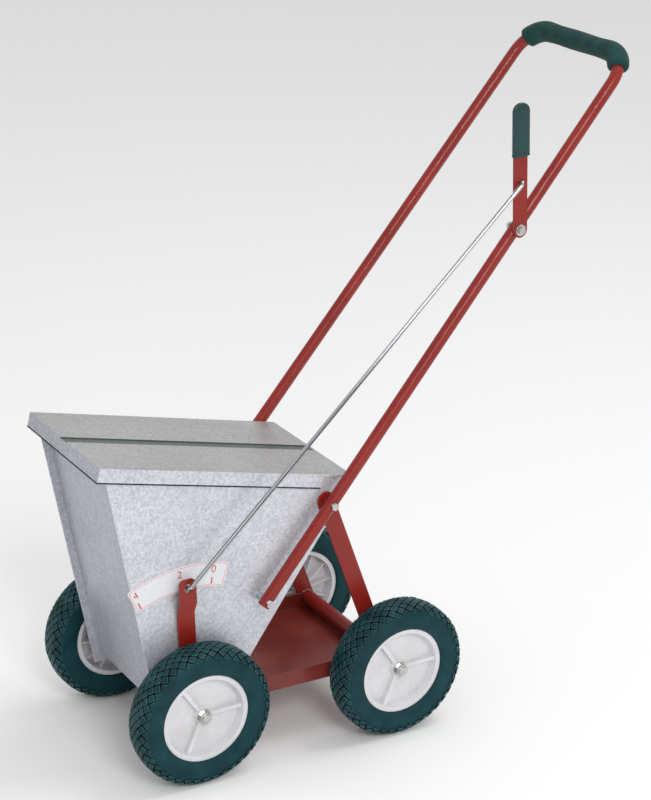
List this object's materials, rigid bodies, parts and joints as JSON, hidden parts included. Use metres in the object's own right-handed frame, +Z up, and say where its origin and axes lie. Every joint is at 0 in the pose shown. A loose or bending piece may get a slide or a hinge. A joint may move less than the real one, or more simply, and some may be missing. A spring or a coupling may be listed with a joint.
{
  "type": "push spreader",
  "caption": "Push-along hopper spreader that lays dry powder in a line, with a hinged lid, a lever-worked outlet gate and a foam-gripped handle.",
  "frame": {"origin": "on the ground under the middle of the machine's bounding box", "axes": "+Z up, -Y the direction of travel, +X the side with the gate lever and the gauge"},
  "size_m": [0.3328, 0.818, 0.9556],
  "materials": {
    "zinc_sheet": "satin",
    "zinc_plated": "bright",
    "red_paint": "gloss",
    "hub": "satin",
    "tyre": "matte",
    "foam": "matte",
    "vinyl": "satin",
    "gauge": "satin"
  },
  "bodies": {
    "chassis": {"hopper_side_right": "zinc_sheet", "hopper_side_left": "zinc_sheet", "hopper_front_wall": "zinc_sheet", "hopper_rear_wall": "zinc_sheet", "hopper_trough": "zinc_sheet", "gauge_plate": "gauge", "rear_hinge_leaf": "zinc_plated", "hinge_pin": "zinc_plated", "base_pan": "red_paint", "strut_right": "red_paint", "strut_left": "red_paint", "rear_cross_tube": "red_paint", "rear_axle": "zinc_plated", "rear_wheel_washers": "zinc_plated", "rear_wheel_nuts": "zinc_plated", "rear_wheel_spacers": "zinc_plated", "pan_washers": "zinc_plated", "pan_bolts": "zinc_plated", "handle_tube": "red_paint", "handle_grip": "foam", "handle_bolts": "zinc_plated", "handle_nuts": "zinc_plated", "handle_spacers": "red_paint", "lever_pivot_washers": "zinc_plated", "lever_pivot_bolt": "zinc_plated", "lever_pivot_nut": "zinc_plated"},
    "front_wheels": {"front_axle": "zinc_plated", "agitator": "red_paint", "front_hub_right": "hub", "front_hub_left": "hub", "front_tyre_right": "tyre", "front_tyre_left": "tyre", "front_wheel_washers": "zinc_plated", "front_wheel_nuts": "zinc_plated", "front_wheel_spacers": "zinc_plated"},
    "rear_wheel_right": {"rear_hub_right": "hub", "rear_tyre_right": "tyre"},
    "rear_wheel_left": {"rear_hub_left": "hub", "rear_tyre_left": "tyre"},
    "lid": {"lid": "zinc_sheet", "lid_hinge_leaf": "zinc_plated"},
    "gate": {"gate_shutter": "zinc_sheet", "gate_end_plates": "zinc_sheet", "gate_arm": "red_paint"},
    "lever": {"lever_bar": "red_paint", "lever_grip": "vinyl"},
    "rod": {"control_rod": "zinc_plated"}
  },
  "joints": [
    {"name": "front_wheels_turn", "type": "hinge", "parent": "chassis", "child": "front_wheels", "pos_m": [0, -0.26954, 0.1016], "axis": [1, 0, 0], "continuous": true},
    {"name": "rear_wheel_right_turn", "type": "hinge", "parent": "chassis", "child": "rear_wheel_right", "pos_m": [0.1442, 0.03996, 0.1016], "axis": [1, 0, 0], "continuous": true},
    {"name": "rear_wheel_left_turn", "type": "hinge", "parent": "chassis", "child": "rear_wheel_left", "pos_m": [-0.1442, 0.03996, 0.1016], "axis": [1, 0, 0], "continuous": true},
    {"name": "lid_open", "type": "hinge", "parent": "chassis", "child": "lid", "pos_m": [0, -0.02754, 0.3894], "axis": [-1, 0, 0], "range_deg": [0, 95]},
    {"name": "lever_swing", "type": "hinge", "parent": "chassis", "child": "lever", "pos_m": [0.1291, 0.21796, 0.7193], "axis": [1, 0, 0], "range_deg": [-22, 48]},
    {"name": "gate_turn", "type": "hinge", "parent": "chassis", "child": "gate", "pos_m": [0, -0.26954, 0.1016], "axis": [1, 0, 0], "range_deg": [-9.2, 19.8]},
    {"name": "rod_pivot", "type": "hinge", "parent": "lever", "child": "rod", "pos_m": [0.1291, 0.21276, 0.7885], "axis": [1, 0, 0], "range_deg": [-49.2, 22.8]}
  ],
  "couplings": [
    {"joint": "gate_turn", "follows": "lever_swing", "ratio": 0.4056},
    {"joint": "rod_pivot", "follows": "lever_swing", "ratio": -1.0167}
  ]
}
